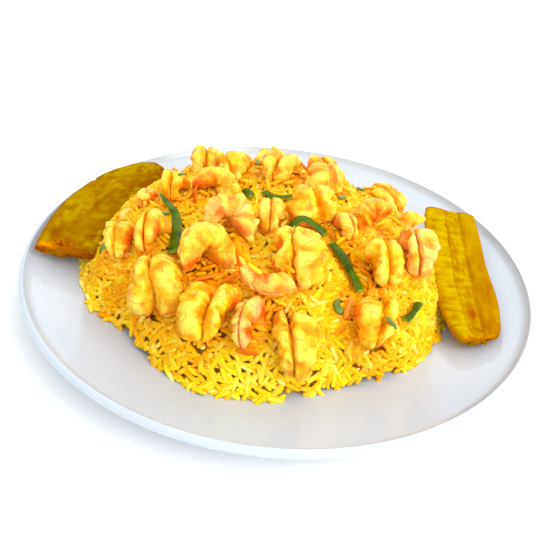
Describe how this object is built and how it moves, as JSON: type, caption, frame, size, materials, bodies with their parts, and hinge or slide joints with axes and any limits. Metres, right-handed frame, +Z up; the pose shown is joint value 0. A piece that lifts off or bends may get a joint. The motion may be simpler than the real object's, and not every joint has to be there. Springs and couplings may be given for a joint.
{
  "type": "shrimp rice",
  "caption": "A heap of yellow rice on a round white coupe plate, with curled shrimps, green pepper strips and fried plantain slices",
  "frame": {"origin": "middle of the plate's foot, on the surface it stands on", "axes": "+Z up, the shortest extent; -Y towards the diner; the plantain slices lie to the left and right along X"},
  "size_m": [0.28, 0.28, 0.0704],
  "materials": {
    "plate": "white glaze, smooth and glossy",
    "rice": "cooked long-grain rice, lemon to golden yellow, slightly moist",
    "shrimp": "cooked peeled shrimp, yellow with pale segments and orange-red tail ends, moist",
    "pepper": "cooked green pepper skin, glossy",
    "plantain": "fried plantain, golden with browned edges, slightly oily"
  },
  "bodies": {
    "root": {"plate": "plate", "rice_heap": "rice", "shrimp_01": "shrimp", "shrimp_02": "shrimp", "shrimp_03": "shrimp", "shrimp_04": "shrimp", "shrimp_05": "shrimp", "shrimp_06": "shrimp", "shrimp_07": "shrimp", "shrimp_08": "shrimp", "shrimp_09": "shrimp", "shrimp_10": "shrimp", "shrimp_11": "shrimp", "shrimp_12": "shrimp", "shrimp_13": "shrimp", "shrimp_14": "shrimp", "shrimp_15": "shrimp", "shrimp_16": "shrimp", "shrimp_17": "shrimp", "shrimp_18": "shrimp", "shrimp_19": "shrimp", "shrimp_20": "shrimp", "shrimp_21": "shrimp", "shrimp_22": "shrimp", "shrimp_23": "shrimp", "shrimp_24": "shrimp", "shrimp_25": "shrimp", "shrimp_26": "shrimp", "shrimp_27": "shrimp", "shrimp_28": "shrimp", "plantain_left": "plantain", "plantain_right": "plantain", "pepper_strip_01": "pepper", "pepper_strip_02": "pepper", "pepper_strip_03": "pepper", "pepper_strip_04": "pepper", "pepper_strip_05": "pepper", "pepper_strip_06": "pepper"}
  },
  "joints": []
}
